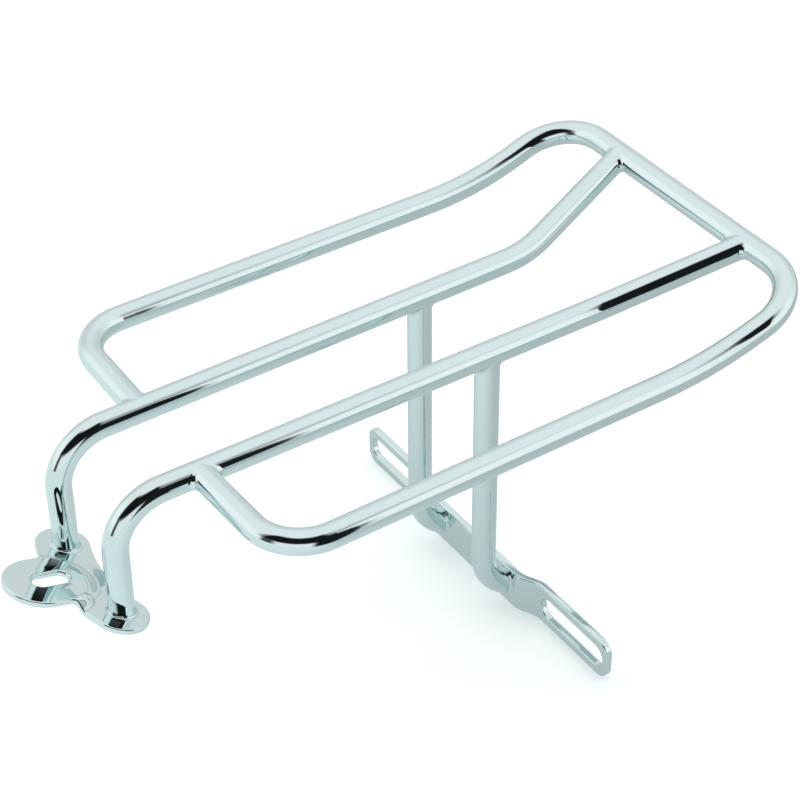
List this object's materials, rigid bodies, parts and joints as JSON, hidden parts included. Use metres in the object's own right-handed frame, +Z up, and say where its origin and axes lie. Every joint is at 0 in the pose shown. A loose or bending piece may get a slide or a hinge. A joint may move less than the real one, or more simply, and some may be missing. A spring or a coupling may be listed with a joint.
{
  "type": "motorcycle luggage rack",
  "caption": "Welded chrome tube luggage rack with a raised rear hoop, twin rails, two struts on a slotted crossbar and a slotted front plate.",
  "frame": {"origin": "midway between the two slots of the crossbar, on the front face of the crossbar's ends", "axes": "+X towards the back of the motorcycle, +Y towards the rider's right, +Z up"},
  "size_m": [0.4019, 0.2196, 0.1959],
  "materials": {
    "chrome_tube": "polished chrome plate",
    "chrome_plate": "chrome plate over rolled flat steel",
    "chrome_weld": "chrome plate over dressed weld"
  },
  "bodies": {
    "root": {"outer_hoop": "chrome_tube", "rail_left": "chrome_tube", "rail_right": "chrome_tube", "strut_left": "chrome_tube", "strut_right": "chrome_tube", "slotted_crossbar": "chrome_plate", "front_plate": "chrome_plate", "weld_hoop_front_left": "chrome_weld", "weld_hoop_front_right": "chrome_weld", "weld_rail_rear_left": "chrome_weld", "weld_rail_rear_right": "chrome_weld", "weld_strut_top_left": "chrome_weld", "weld_strut_top_right": "chrome_weld", "weld_strut_foot_left": "chrome_weld", "weld_strut_foot_right": "chrome_weld", "weld_leg_foot_left": "chrome_weld", "weld_leg_foot_right": "chrome_weld"}
  },
  "joints": []
}
